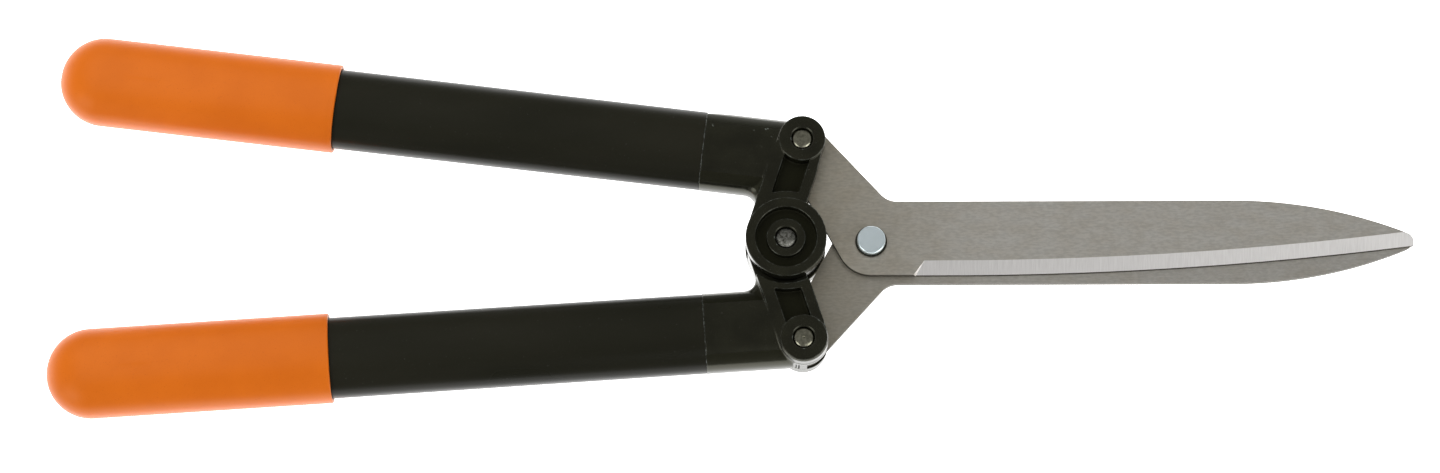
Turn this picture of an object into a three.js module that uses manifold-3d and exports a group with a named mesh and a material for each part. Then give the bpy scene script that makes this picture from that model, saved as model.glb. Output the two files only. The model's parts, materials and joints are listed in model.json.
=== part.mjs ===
// Hedge shears with a toggle (power-lever) linkage, closed and lying on their back.
// Millimetres. +X points to the blade tips, +Y to the upper handle, +Z up through the front blade.
// Everything is drawn from the blade pivot. Last, the whole group moves so that its origin is the
// bottom centre of its bounding box.
import * as THREE from 'three';
import { mergeVertices } from 'three/addons/utils/BufferGeometryUtils.js';
import Module from 'manifold-3d';

const wasm = await Module();
wasm.setup();

// ---------------------------------------------------------------- driving dimensions
const GAP = 0.3; // clearance between neighbouring pieces
const BEYOND = 20; // how far a drill or cutter reaches past the pieces, from the mid plane
const ROUND = 32; // facets of a full circle
const DISC_ROUND = 40; // facets of the large centre disc
const SMALL_ROUND = 24; // facets of rivets and small washers

// linkage: blade pivot at the origin, two handle joints, and the joint between the two heads
const JOINT = { x: -28.5, y: 42.4 }; // upper handle joint; the lower one is its mirror image
const CENTRE = { x: -35.5, y: 0 };

// blades
const BLADE_THICK = 3;
const BLADE_LOW = GAP / 2; // inner face of each blade, from the mid plane between them
const BLADE_FACE = BLADE_LOW + BLADE_THICK; // outer face
const BLADE_BACK = 17.35; // straight back of the blade, from the axis
const BACK_END_X = 151; // where the back starts to curve to the tip
const BACK_RADIUS = 191.5;
const EDGE_Y = -14.2; // cutting edge at its heel
const EDGE_START_X = 18.6;
const EDGE_STRAIGHT_X = 34; // the cutting edge is straight up to here
const EDGE_RADIUS = 1530; // then it bows gently up to the tip
const TIP_X = 225.3;
const TIP_RADIUS = 3.8; // round nose, from the back down to the end of the cutting edge
const HEEL_RADIUS = 14.2; // heel, round the blade pivot
const TANG_RADIUS = 9.4; // tang end, round the handle joint
const TANG_SLOPE = 47.7; // degrees, outer edge of the tang
const NECK_RADIUS = 12.5; // fillet between tang and back
const BEVEL_WIDTH = 5.85;
const EDGE_LAND = 0.7; // thickness left at the cutting edge
const BEVEL_START = 4; // the bevel's heel end slants by this much
const EDGE_STEPS = 12; // straight steps along the bowed cutting edge

// blade pivot bolt, nut and washers
const BOLT_SHANK_R = 4;
const BOLT_HEAD_R = 5.9;
const BOLT_HEAD_H = 3.6;
const BOLT_CHAMFER = 0.4;
const BOLT_END = 0.8; // the shank stands out of the nut by this much
const FRONT_WASHER_H = 0.5;
const PIVOT_WASHER_R = 6.6;
const REAR_WASHER_R = 8;
const REAR_WASHER_H = 1.2;
const SPRING_WASHER_H = 1.2;
const NUT_FLATS = 13;
const NUT_H = 5.5;

// moulded heads
const SLOT_HALF = BLADE_FACE + GAP; // half height of the fork slot round the tang
const ARM_RADIUS = 10.2; // half width of the arm
const ARM_END = { upper: 9.3, lower: 10.1 }; // radius of its round end
const ARM_FACE = 11.3; // front face of the arm's rails, from the mid plane
const POCKET_FLOOR = 7;
const RAIL_OUTER = 5.3;
const RAIL_INNER = 4.5;
const BOSS_RADIUS = 9.7;
const BOSS_FACE = 12;
const DISC_RADIUS = 16.8;
const DISC_FACE = 12.8;
const DISC_RECESS_R = 12.7;
const DISC_RECESS_FLOOR = 8.6;
const HUB_RADIUS = 8.1;
const HUB_FACE = 11.6;
const LUG_HALF = 6; // half height of the lower head's lug, inside the upper head's two discs
const LUG_RADIUS = 15.5;
const LUG_HOLE_R = 7.6; // wide, because the two heads part by up to 1.9 mm along Y as they turn
const LOWER_ARM_END_R = 19.1; // the lower arm's full height stops here, clear of the discs
const UPPER_WEB_R = 19.5; // the upper arm's web stops here, clear of the lug
const POCKET_END = { upper: 20, lower: 22 }; // pocket's end, round the centre joint
const HEAD_BODY_END = 5; // the oval body runs into the arm up to here
const CORNER_FILLET = 6;

// rivets and their sleeves
const RIVET = { shank: 3, head: 3.9, seat: 4.5, seatFloor: 9.6, dome: 11.6 };
const CENTRE_RIVET = { shank: 3.6, head: 4.2, seat: 4.7, seatFloor: 9.4, dome: 11.1 };
const RIVET_SEAT_REAR = { r: 7, floor: -9.4, washerR: 6.6, washerThick: 1, formedR: 4.2, formedH: 1.1 };
const CENTRE_SEAT_REAR = { r: 8, floor: -10, washerR: 6.5, washerThick: 1, formedR: 4.4, formedH: 1 };
const SLEEVE_R = 4.6;
const CENTRE_SLEEVE_R = 5.3;
const SPACER_R = 8.2;
const DOME_HEIGHT = 0.45; // of a rivet's front end

// handles: oval tube, moulded cap grip. Distances run along the tube from the handle joint.
const TUBE_WIDTH = 33.4;
const TUBE_DEPTH = 22;
const TUBE_WALL = 1.4;
const OVAL_POWER = 2.4; // superellipse exponent of the oval
const SEAM = 40.6; // where tube and head meet
const SPIGOT_END = 76;
const SPIGOT_WALL = 2.4;
const SPIGOT_CORE_END = SEAM + 4; // the head is hollow up to here
const TUBE_END = 293;
const GRIP_START = 195.4;
const GRIP_END = 313;
const GRIP_WIDTH = 37.3;
const GRIP_DEPTH = 2 * DISC_FACE;
const HANDLES = {
	upper: { side: 1, tilt: 7, offset: 7.3 },
	lower: { side: -1, tilt: 3.6, offset: 6.6 },
};

// ---------------------------------------------------------------- materials
const finish = (color, roughness, metalness) =>
	new THREE.MeshStandardMaterial({ color, roughness, metalness });
const MATERIAL = {
	blade: () => finish(0x8b8680, 0.42, 0.9),
	zinc: () => finish(0xaebec6, 0.3, 0.95),
	rivet: () => finish(0x77726c, 0.5, 0.9),
	washer: () => finish(0x1b1b1b, 0.6, 0),
	head: () => finish(0x141412, 0.45, 0),
	tube: () => finish(0x181816, 0.35, 0.3),
	grip: () => finish(0xde7024, 0.5, 0),
};

// ---------------------------------------------------------------- geometry helpers
const radians = THREE.MathUtils.degToRad;
const point = (x, y) => new THREE.Vector2(x, y);
const polar = (centre, r, angle) => point(centre.x + r * Math.cos(angle), centre.y + r * Math.sin(angle));

// Points of an arc, both ends included.
function arc(centre, r, from, to, facets = ROUND) {
	const steps = Math.max(2, Math.round((facets * Math.abs(to - from)) / (2 * Math.PI)));
	return Array.from({ length: steps + 1 }, (_, i) => polar(centre, r, from + ((to - from) * i) / steps));
}

const mirrored = (points, side) => points.map((p) => point(p.x, p.y * side));

function plate(points, low, high) {
	const options = { depth: high - low, bevelEnabled: false, curveSegments: 1 };
	return new THREE.ExtrudeGeometry(new THREE.Shape(points), options).translate(0, 0, low);
}

// A turned solid on the Z axis. profile lists [radius, z] from one end to the other.
function turned(profile, centre = { x: 0, y: 0 }, facets = ROUND) {
	const points = profile.map(([r, z]) => point(r, z));
	const rising = points[0].y < points[points.length - 1].y;
	const lathe = new THREE.LatheGeometry(rising ? points : points.reverse(), facets);
	return lathe.rotateX(Math.PI / 2).translate(centre.x, centre.y, 0);
}

const cylinder = (r, low, high, centre, facets) =>
	turned([[0, low], [r, low], [r, high], [0, high]], centre, facets);

// A washer or sleeve: a rectangle turned round the axis, closed on itself.
function ring(inner, outer, low, high, centre = { x: 0, y: 0 }, facets = ROUND) {
	const corners = [[inner, low], [outer, low], [outer, high], [inner, high], [inner, low]];
	const lathe = new THREE.LatheGeometry(corners.map(([r, z]) => point(r, z)), facets);
	return lathe.rotateX(Math.PI / 2).translate(centre.x, centre.y, 0);
}

// A closed skin over rings of equal length, capped with a fan at both ends.
function loft(rings) {
	const count = rings[0].length;
	const positions = rings.flat().flatMap((p) => [p.x, p.y, p.z]);
	const index = [];
	for (let i = 0; i + 1 < rings.length; i++) {
		for (let j = 0; j < count; j++) {
			const a = i * count + j;
			const b = i * count + ((j + 1) % count);
			index.push(a, b, b + count, a, b + count, a + count);
		}
	}
	for (const [start, flip] of [[0, true], [(rings.length - 1) * count, false]]) {
		const centre = positions.length / 3;
		const cap = rings[start / count];
		const middle = cap.reduce((sum, p) => sum.add(p), new THREE.Vector3()).divideScalar(count);
		positions.push(middle.x, middle.y, middle.z);
		for (let j = 0; j < count; j++) {
			const a = start + j;
			const b = start + ((j + 1) % count);
			index.push(...(flip ? [centre, b, a] : [centre, a, b]));
		}
	}
	const geometry = new THREE.BufferGeometry();
	geometry.setAttribute('position', new THREE.Float32BufferAttribute(positions, 3));
	geometry.setIndex(index);
	return geometry;
}

// An oval (superellipse) ring at distance x along the tube, centred on height y.
function ovalRing(x, y, width, depth, facets = ROUND) {
	const power = 2 / OVAL_POWER;
	return Array.from({ length: facets }, (_, i) => {
		const angle = (2 * Math.PI * i) / facets;
		const c = Math.cos(angle);
		const s = Math.sin(angle);
		const across = (width / 2) * Math.sign(c) * Math.abs(c) ** power;
		const through = (depth / 2) * Math.sign(s) * Math.abs(s) ** power;
		return new THREE.Vector3(x, y + across, through);
	});
}

const ovalBar = (from, to, y, width, depth) =>
	loft([ovalRing(from, y, width, depth), ovalRing(to, y, width, depth)]);

// ---------------------------------------------------------------- joins and cuts
function solid(geometry) {
	const bare = geometry.clone();
	for (const name of ['normal', 'uv']) bare.deleteAttribute(name);
	const merged = mergeVertices(bare, 1e-4);
	const corners = merged.index.array;
	const triangles = [];
	for (let i = 0; i < corners.length; i += 3) {
		const [a, b, c] = [corners[i], corners[i + 1], corners[i + 2]];
		if (a !== b && b !== c && c !== a) triangles.push(a, b, c);
	}
	const vertProperties = new Float32Array(merged.attributes.position.array);
	const triVerts = new Uint32Array(triangles);
	return new wasm.Manifold(new wasm.Mesh({ numProp: 3, vertProperties, triVerts }));
}

const join = (first, ...others) => others.reduce((sum, other) => sum.add(solid(other)), first);
const cut = (first, ...others) => others.reduce((rest, other) => rest.subtract(solid(other)), first);

function geometryOf(manifold) {
	const { vertProperties, triVerts, numProp } = manifold.getMesh();
	const geometry = new THREE.BufferGeometry();
	const positions = new Float32Array((vertProperties.length / numProp) * 3);
	for (let i = 0; i < positions.length / 3; i++) {
		for (let k = 0; k < 3; k++) positions[3 * i + k] = vertProperties[numProp * i + k];
	}
	geometry.setAttribute('position', new THREE.Float32BufferAttribute(positions, 3));
	geometry.setIndex(Array.from(triVerts));
	geometry.computeVertexNormals();
	return geometry;
}

function mesh(name, shape, material) {
	const geometry = shape.isBufferGeometry ? shape : geometryOf(shape);
	const node = new THREE.Mesh(geometry, material);
	node.name = name;
	return node;
}

// ---------------------------------------------------------------- blades
const edgeHeight = (x) => EDGE_Y + Math.max(0, x - EDGE_STRAIGHT_X) ** 2 / (2 * EDGE_RADIUS);

// The front blade's outline, from its tip along the back, round the tang and along the edge.
function bladeOutline() {
	const pivot = { x: 0, y: 0 };
	const slope = radians(TANG_SLOPE);
	const outward = Math.PI / 2 - slope; // normal of the tang's outer edge
	// neck fillet: inside corner between the tang's outer edge and the back
	const edgeDistance = JOINT.x * Math.cos(outward) + JOINT.y * Math.sin(outward) + TANG_RADIUS;
	const neckY = BLADE_BACK + NECK_RADIUS;
	const neckX = (edgeDistance + NECK_RADIUS - neckY * Math.sin(outward)) / Math.cos(outward);
	const neck = arc({ x: neckX, y: neckY }, NECK_RADIUS, -Math.PI / 2, outward - Math.PI);
	// tang end, then the straight inner edge that is tangent to tang end and heel
	const span = Math.hypot(JOINT.x, JOINT.y);
	const toJoint = Math.atan2(JOINT.y, JOINT.x);
	const inward = toJoint + Math.PI / 2 - Math.asin((HEEL_RADIUS - TANG_RADIUS) / span);
	const tangEnd = arc(JOINT, TANG_RADIUS, outward, inward);
	const heel = arc(pivot, HEEL_RADIUS, inward, 1.5 * Math.PI);
	// back curve and tip
	const backCentre = { x: BACK_END_X, y: BLADE_BACK - BACK_RADIUS };
	const tipX = TIP_X - TIP_RADIUS;
	const tipRise = Math.sqrt((BACK_RADIUS - TIP_RADIUS) ** 2 - (tipX - BACK_END_X) ** 2);
	const tip = { x: tipX, y: backCentre.y + tipRise };
	const toEdge = -Math.asin((tip.y - edgeHeight(TIP_X)) / TIP_RADIUS);
	const toTip = Math.atan2(tip.y - backCentre.y, tip.x - backCentre.x);
	const back = arc(backCentre, BACK_RADIUS, toTip, Math.PI / 2, 6 * ROUND).slice(1);
	const tipEnd = arc(tip, TIP_RADIUS, toEdge, toTip);
	const edgeEnd = tipEnd[0].x;
	const edge = Array.from({ length: EDGE_STEPS }, (_, i) => {
		const x = EDGE_START_X + ((edgeEnd - EDGE_START_X) * i) / EDGE_STEPS;
		return point(x, edgeHeight(x));
	});
	return [...tipEnd, ...back, ...neck, ...tangEnd, ...heel, ...edge];
}

// Wedge that grinds the bevel: from the bevel's upper line down past the cutting edge.
function bevelWedge() {
	const run = 2; // how far it reaches past the bevel on every side
	const rise = ((BLADE_THICK - EDGE_LAND) * run) / BEVEL_WIDTH;
	const top = BLADE_FACE + rise;
	const rings = [];
	for (let i = 0; i <= EDGE_STEPS; i++) {
		const x = EDGE_START_X + ((TIP_X + 2 * run - EDGE_START_X) * i) / EDGE_STEPS;
		const slant = i === 0 ? BEVEL_START : 0;
		const y = edgeHeight(x);
		rings.push([
			new THREE.Vector3(x + slant, y + BEVEL_WIDTH + run, top),
			new THREE.Vector3(x, y - run, top),
			new THREE.Vector3(x, y - run, BLADE_LOW + EDGE_LAND - rise),
		]);
	}
	return loft(rings);
}

function blade(side) {
	const bored = cut(
		solid(plate(bladeOutline(), BLADE_LOW, BLADE_FACE)),
		bevelWedge(),
		cylinder(BOLT_SHANK_R + GAP, -BEYOND, BEYOND),
		cylinder(SLEEVE_R + GAP, -BEYOND, BEYOND, JOINT),
	);
	const geometry = geometryOf(bored);
	// The rear blade is the front blade turned over about the X axis.
	if (side < 0) geometry.rotateX(Math.PI);
	return geometry;
}

// ---------------------------------------------------------------- pivot bolt set
function pivotSet() {
	const washerLow = BLADE_FACE + GAP;
	const headLow = washerLow + FRONT_WASHER_H + GAP;
	const headHigh = headLow + BOLT_HEAD_H;
	const rearWasherLow = -(washerLow + REAR_WASHER_H);
	const springHigh = rearWasherLow - GAP;
	const springLow = springHigh - SPRING_WASHER_H;
	const nutHigh = springLow - GAP;
	const shankEnd = nutHigh - NUT_H - BOLT_END;
	const bolt = turned([
		[0, headHigh],
		[BOLT_HEAD_R - BOLT_CHAMFER, headHigh],
		[BOLT_HEAD_R, headHigh - BOLT_CHAMFER],
		[BOLT_HEAD_R, headLow],
		[BOLT_SHANK_R, headLow],
		[BOLT_SHANK_R, shankEnd + BOLT_CHAMFER],
		[BOLT_SHANK_R - BOLT_CHAMFER, shankEnd],
		[0, shankEnd],
	]);
	const nutCorner = NUT_FLATS / 2 / Math.cos(Math.PI / 6);
	const hexagon = arc({ x: 0, y: 0 }, nutCorner, 0, (5 / 3) * Math.PI, 6);
	const bore = BOLT_SHANK_R + GAP;
	const nut = cut(solid(plate(hexagon, nutHigh - NUT_H, nutHigh)), cylinder(bore, -BEYOND, BEYOND));
	// The spring washer is split: a narrow slanted slot through one side.
	const slit = [point(3, -0.6), point(9, -1.4), point(9, -0.2), point(3, 0.6)];
	const spring = cut(
		solid(ring(bore, PIVOT_WASHER_R, springLow, springHigh)),
		plate(slit, -BEYOND, BEYOND),
	);
	const frontWasher = ring(bore, PIVOT_WASHER_R, washerLow, washerLow + FRONT_WASHER_H);
	const rearWasher = ring(bore, REAR_WASHER_R, rearWasherLow, -washerLow);
	return [
		mesh('pivot_bolt', bolt, MATERIAL.zinc()),
		mesh('pivot_front_washer', frontWasher, MATERIAL.washer()),
		mesh('pivot_rear_washer', rearWasher, MATERIAL.zinc()),
		mesh('pivot_spring_washer', spring, MATERIAL.zinc()),
		mesh('pivot_nut', nut, MATERIAL.zinc()),
	];
}

// ---------------------------------------------------------------- heads
// Drawn for the upper handle, from its joint; y is mirrored for the lower one.
const LINK = { x: CENTRE.x - JOINT.x, y: CENTRE.y - JOINT.y };
const LINK_LENGTH = Math.hypot(LINK.x, LINK.y);
// The arm's outer edge is tangent to its round end and to the centre disc.
const ARM_ANGLE = Math.atan2(LINK.y, LINK.x) - Math.asin((DISC_RADIUS - ARM_RADIUS) / LINK_LENGTH);

// A straight strip from the joint along the arm, between two distances from its centre line.
function armStrip(outer, inner, from, to) {
	const along = (t, across) =>
		point(
			t * Math.cos(ARM_ANGLE) + across * Math.sin(ARM_ANGLE),
			t * Math.sin(ARM_ANGLE) - across * Math.cos(ARM_ANGLE),
		);
	return [along(from, outer), along(to, outer), along(to, inner), along(from, inner)];
}

// The tang's room in the fork: round at the joint, then open to the side the tang swings to.
function slotOutline() {
	const r = TANG_RADIUS + 2 * GAP;
	const span = Math.hypot(JOINT.x, JOINT.y);
	const toPivot = Math.atan2(-JOINT.y, -JOINT.x);
	const edge = toPivot - Math.asin((HEEL_RADIUS - TANG_RADIUS) / span);
	const far = 62; // past the head's own reach
	const round = arc({ x: 0, y: 0 }, r, Math.PI / 2, edge + 1.5 * Math.PI);
	const last = round[round.length - 1];
	const end = point(last.x + far * Math.cos(edge), last.y + far * Math.sin(edge));
	return [...round, end, point(far, end.y), point(far, r)];
}

// Concave fillet in the corner between the tube's inner side and the arm's outer edge.
function cornerFillet(tubeEdgeY, tilt) {
	const tubeAngle = -tilt;
	const outer = armStrip(ARM_RADIUS, ARM_RADIUS, 0, LINK_LENGTH);
	const armNormal = ARM_ANGLE - Math.PI / 2;
	const tubeNormal = tubeAngle - Math.PI / 2;
	// centre of the fillet circle: CORNER_FILLET outside both edges
	const armDistance = ARM_RADIUS + CORNER_FILLET;
	const tubeDistance = -tubeEdgeY + CORNER_FILLET;
	const [a, b] = [Math.cos(armNormal), Math.sin(armNormal)];
	const [c, d] = [Math.cos(tubeNormal), Math.sin(tubeNormal)];
	const det = a * d - b * c;
	const centre = {
		x: (armDistance * d - b * tubeDistance) / det,
		y: (a * tubeDistance - c * armDistance) / det,
	};
	const curve = arc(centre, CORNER_FILLET, tubeNormal + Math.PI, armNormal + Math.PI);
	return [...curve, outer[0]];
}

function head(name) {
	const { side, tilt, offset } = HANDLES[name];
	const upper = name === 'upper';
	const turn = radians(tilt);
	const centre = { x: LINK.x, y: LINK.y * side };
	const flat = (points, low, high) => plate(mirrored(points, side), low, high);
	const along = (geometry) => geometry.rotateZ(-turn * side);
	const armEnd = arc({ x: 0, y: 0 }, ARM_END[name], ARM_ANGLE + Math.PI / 2, ARM_ANGLE + 1.5 * Math.PI);
	const armTip = armStrip(ARM_RADIUS, -ARM_RADIUS, 0, LINK_LENGTH - 4).slice(1, 3);
	const arm = [...armEnd, ...armTip];
	const tubeY = -offset * side;
	const body = along(ovalBar(-SEAM + GAP / 2, -HEAD_BODY_END, tubeY, TUBE_WIDTH, TUBE_DEPTH));
	const inner = (size) => size - 2 * TUBE_WALL - 2 * GAP;
	const spigot = along(ovalBar(-SPIGOT_END, -SEAM + 1, tubeY, inner(TUBE_WIDTH), inner(TUBE_DEPTH)));
	const hollow = (size) => inner(size) - 2 * SPIGOT_WALL;
	const coreStart = -SPIGOT_END - 1;
	const core = along(ovalBar(coreStart, -SPIGOT_CORE_END, tubeY, hollow(TUBE_WIDTH), hollow(TUBE_DEPTH)));

	let shape = join(
		solid(flat(arm, -ARM_FACE, ARM_FACE)),
		body,
		flat(cornerFillet(-offset - TUBE_WIDTH / 2, turn), -LUG_HALF, LUG_HALF),
		cylinder(BOSS_RADIUS, -BOSS_FACE, BOSS_FACE),
		spigot,
	);
	if (upper) {
		shape = join(shape, cylinder(DISC_RADIUS, -DISC_FACE, DISC_FACE, centre, DISC_ROUND));
		shape = cut(shape, cylinder(UPPER_WEB_R, -LUG_HALF - GAP, LUG_HALF + GAP, centre));
	} else {
		for (const [low, high] of [[-BEYOND, -LUG_HALF], [LUG_HALF, BEYOND]]) {
			shape = cut(shape, cylinder(LOWER_ARM_END_R, low, high, centre, DISC_ROUND));
		}
		shape = join(shape, cylinder(LUG_RADIUS, -LUG_HALF, LUG_HALF, centre));
	}
	shape = cut(shape, core, flat(slotOutline(), -SLOT_HALF, SLOT_HALF));

	// pockets between the rails, front and rear
	const pocketStrip = armStrip(ARM_RADIUS - RAIL_OUTER, RAIL_INNER - ARM_RADIUS, 0, LINK_LENGTH);
	for (const [low, high] of [[POCKET_FLOOR, BEYOND], [-BEYOND, -POCKET_FLOOR]]) {
		const pocket = cut(
			solid(flat(pocketStrip, low, high)),
			cylinder(BOSS_RADIUS, -BEYOND - 1, BEYOND + 1),
			cylinder(POCKET_END[name], -BEYOND - 1, BEYOND + 1, centre),
		);
		shape = shape.subtract(pocket);
	}

	// rivet hole with its front seat and its rear washer seat
	shape = cut(shape, turned([
		[0, BEYOND],
		[RIVET.seat, BEYOND],
		[RIVET.seat, RIVET.seatFloor],
		[RIVET.shank + GAP, RIVET.seatFloor],
		[RIVET.shank + GAP, RIVET_SEAT_REAR.floor],
		[RIVET_SEAT_REAR.r, RIVET_SEAT_REAR.floor],
		[RIVET_SEAT_REAR.r, -BEYOND],
		[0, -BEYOND],
	]));
	// centre joint: recessed discs on the upper head, a plain wide hole in the lower head's lug
	if (upper) {
		shape = cut(shape, turned([
			[0, BEYOND],
			[DISC_RECESS_R, BEYOND],
			[DISC_RECESS_R, DISC_RECESS_FLOOR],
			[HUB_RADIUS, DISC_RECESS_FLOOR],
			[HUB_RADIUS, HUB_FACE],
			[CENTRE_RIVET.seat, HUB_FACE],
			[CENTRE_RIVET.seat, CENTRE_RIVET.seatFloor],
			[CENTRE_RIVET.shank + GAP, CENTRE_RIVET.seatFloor],
			[CENTRE_RIVET.shank + GAP, CENTRE_SEAT_REAR.floor],
			[CENTRE_SEAT_REAR.r, CENTRE_SEAT_REAR.floor],
			[CENTRE_SEAT_REAR.r, -DISC_RECESS_FLOOR],
			[DISC_RECESS_R, -DISC_RECESS_FLOOR],
			[DISC_RECESS_R, -BEYOND],
			[0, -BEYOND],
		], centre));
	} else {
		shape = cut(shape, cylinder(LUG_HOLE_R, -BEYOND, BEYOND, centre));
	}
	return mesh(`${name}_head`, shape, MATERIAL.head());
}

// ---------------------------------------------------------------- rivets, sleeves, washers
function rivet(name, size, rear, centre) {
	const headLow = size.seatFloor + GAP;
	const washerLow = rear.floor - GAP - rear.washerThick;
	const formedHigh = washerLow - GAP;
	const formedLow = formedHigh - rear.formedH;
	const shape = turned([
		[0, size.dome],
		[0.6 * size.head, size.dome - 0.3 * DOME_HEIGHT],
		[size.head, size.dome - DOME_HEIGHT],
		[size.head, headLow],
		[size.shank, headLow],
		[size.shank, formedHigh],
		[rear.formedR, formedHigh],
		[rear.formedR, formedLow + 0.3],
		[rear.formedR - 0.5, formedLow],
		[0, formedLow],
	], centre, SMALL_ROUND);
	const washer = ring(size.shank + GAP, rear.washerR, washerLow, rear.floor - GAP, centre, SMALL_ROUND);
	return [
		mesh(`${name}_rivet`, shape, MATERIAL.rivet()),
		mesh(`${name}_rivet_washer`, washer, MATERIAL.rivet()),
	];
}

function sleeve(name, shankR, outerR, half, centre) {
	const shape = ring(shankR + GAP, outerR, -half, half, centre, SMALL_ROUND);
	return mesh(`${name}_sleeve`, shape, MATERIAL.rivet());
}

// ---------------------------------------------------------------- tubes and grips
function tube(name) {
	const y = -HANDLES[name].offset * HANDLES[name].side;
	const bore = (size) => size - 2 * TUBE_WALL;
	const shape = cut(
		solid(ovalBar(-TUBE_END, -SEAM - GAP / 2, y, TUBE_WIDTH, TUBE_DEPTH)),
		ovalBar(-TUBE_END - 1, -SEAM + 1, y, bore(TUBE_WIDTH), bore(TUBE_DEPTH)),
	);
	return mesh(`${name}_tube`, shape, MATERIAL.tube());
}

// A cap that slips over the tube, with one round end.
function grip(name) {
	const y = -HANDLES[name].offset * HANDLES[name].side;
	const roundLength = GRIP_WIDTH / 2;
	const rings = [];
	const steps = 9;
	for (let i = 0; i <= steps; i++) {
		const angle = (Math.PI / 2) * (1 - 0.93 * (1 - i / steps));
		const scale = Math.sin(angle);
		const x = -GRIP_END + roundLength * (1 - Math.cos(angle));
		rings.push(ovalRing(x, y, GRIP_WIDTH * scale, GRIP_DEPTH * scale));
	}
	rings.push(ovalRing(-GRIP_START, y, GRIP_WIDTH, GRIP_DEPTH));
	const room = (size) => size + 2 * GAP;
	const inside = ovalBar(-TUBE_END - 1.5, -GRIP_START + 1, y, room(TUBE_WIDTH), room(TUBE_DEPTH));
	return mesh(`${name}_grip`, cut(solid(loft(rings)), inside), MATERIAL.grip());
}

function handle(name) {
	const { side, tilt } = HANDLES[name];
	const group = new THREE.Group();
	group.position.set(JOINT.x, JOINT.y * side, 0);
	group.add(head(name));
	group.add(...rivet(name, RIVET, RIVET_SEAT_REAR));
	group.add(sleeve(name, RIVET.shank, SLEEVE_R, SLOT_HALF - GAP));
	// The blades lie to either side of the mid plane, so each fork has a spacer beside its tang.
	const spacerLow = side > 0 ? -BLADE_FACE : BLADE_LOW;
	const spacer = ring(SLEEVE_R + GAP, SPACER_R, spacerLow, spacerLow + BLADE_THICK);
	group.add(mesh(`${name}_tang_spacer`, spacer, MATERIAL.washer()));
	const stem = new THREE.Group();
	stem.rotation.z = -radians(tilt) * side;
	stem.add(tube(name), grip(name));
	group.add(stem);
	return group;
}

// ---------------------------------------------------------------- assembly
const shears = new THREE.Group();
shears.add(mesh('front_blade', blade(1), MATERIAL.blade()));
shears.add(mesh('rear_blade', blade(-1), MATERIAL.blade()));
shears.add(...pivotSet());
shears.add(handle('upper'), handle('lower'));
shears.add(...rivet('centre', CENTRE_RIVET, CENTRE_SEAT_REAR, CENTRE));
shears.add(sleeve('centre', CENTRE_RIVET.shank, CENTRE_SLEEVE_R, LUG_HALF, CENTRE));

shears.updateMatrixWorld(true);
const box = new THREE.Box3().setFromObject(shears, true);
shears.position.set(-(box.min.x + box.max.x) / 2, -(box.min.y + box.max.y) / 2, -box.min.z);

export default shears;
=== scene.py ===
"""Hedge shears with a toggle linkage: the looks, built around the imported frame.

Shapes are drawn in millimetres from the blade pivot or from a handle's joint, and turned into metres where a
mesh is made. The heads are solid moulded parts, so they are drawn as distance fields with real fillets.
"""
import json
import math

import bmesh
import bpy
import numpy as np
import openvdb
from mathutils import Matrix, Vector


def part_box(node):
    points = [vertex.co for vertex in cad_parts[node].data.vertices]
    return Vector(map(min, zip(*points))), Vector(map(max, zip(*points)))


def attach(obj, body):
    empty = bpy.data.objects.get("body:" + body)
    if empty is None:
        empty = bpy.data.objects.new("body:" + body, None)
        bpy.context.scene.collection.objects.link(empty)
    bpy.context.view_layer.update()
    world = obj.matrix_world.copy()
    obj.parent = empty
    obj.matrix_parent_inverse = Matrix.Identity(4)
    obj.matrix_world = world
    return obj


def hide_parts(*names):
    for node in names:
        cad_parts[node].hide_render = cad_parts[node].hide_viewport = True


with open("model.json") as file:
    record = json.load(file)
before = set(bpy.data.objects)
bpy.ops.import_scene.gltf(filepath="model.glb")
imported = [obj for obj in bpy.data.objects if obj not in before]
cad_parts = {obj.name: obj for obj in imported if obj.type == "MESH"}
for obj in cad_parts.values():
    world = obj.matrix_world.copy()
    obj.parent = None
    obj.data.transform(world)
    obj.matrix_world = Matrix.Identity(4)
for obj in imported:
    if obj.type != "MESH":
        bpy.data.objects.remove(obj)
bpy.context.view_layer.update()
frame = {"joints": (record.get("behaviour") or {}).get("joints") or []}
MM = 0.001

# ------------------------------------------------------------------ places, from the frame
JOINTS = {joint["name"]: Vector(joint["pos_m"]) for joint in frame["joints"]}
PIVOT = JOINTS["blade_pivot"]
JOINT = {"upper": JOINTS["upper_handle_pivot"], "lower": JOINTS["lower_handle_pivot"]}
CENTRE = sum(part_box("centre_rivet"), Vector()) / 2
CENTRE.z = PIVOT.z
LINK = (CENTRE - JOINT["upper"]) / MM
TANG_JOINT = (JOINT["upper"] - PIVOT) / MM

# ------------------------------------------------------------------ sizes, in millimetres
# Heights are from the plane where the blades meet.
# blades
BLADE_LOW, BLADE_FACE = 0.15, 3.15
BLADE_BACK, BACK_END_X, BACK_RADIUS = 17.25, 151, 191.5
EDGE_Y, EDGE_START_X, EDGE_STRAIGHT_X, EDGE_RADIUS = -14.2, 18.6, 34, 1530
TIP_X, TIP_RADIUS = 226.1, 3.8
HEEL_RADIUS, TANG_RADIUS, NECK_RADIUS = 14.2, 9.4, 9
TANG_SLOPE = math.radians(47.7)
TANG_TAPER = math.asin((HEEL_RADIUS - TANG_RADIUS) / math.hypot(TANG_JOINT.x, TANG_JOINT.y))
BEVEL_WIDTH, BEVEL_START, BEVEL_END_SLOPE, EDGE_LAND, EDGE_FLARE = 5.85, 4.6, 2.8, 0.7, 0.3
BEVEL_TILT = math.atan2(BLADE_FACE - BLADE_LOW - EDGE_LAND, BEVEL_WIDTH)
PIVOT_HOLE, TANG_HOLE = 4.3, 4.9
BLADE_ROUNDING = 0.2
DRILL_ENDS = (-1, 5)

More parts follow.
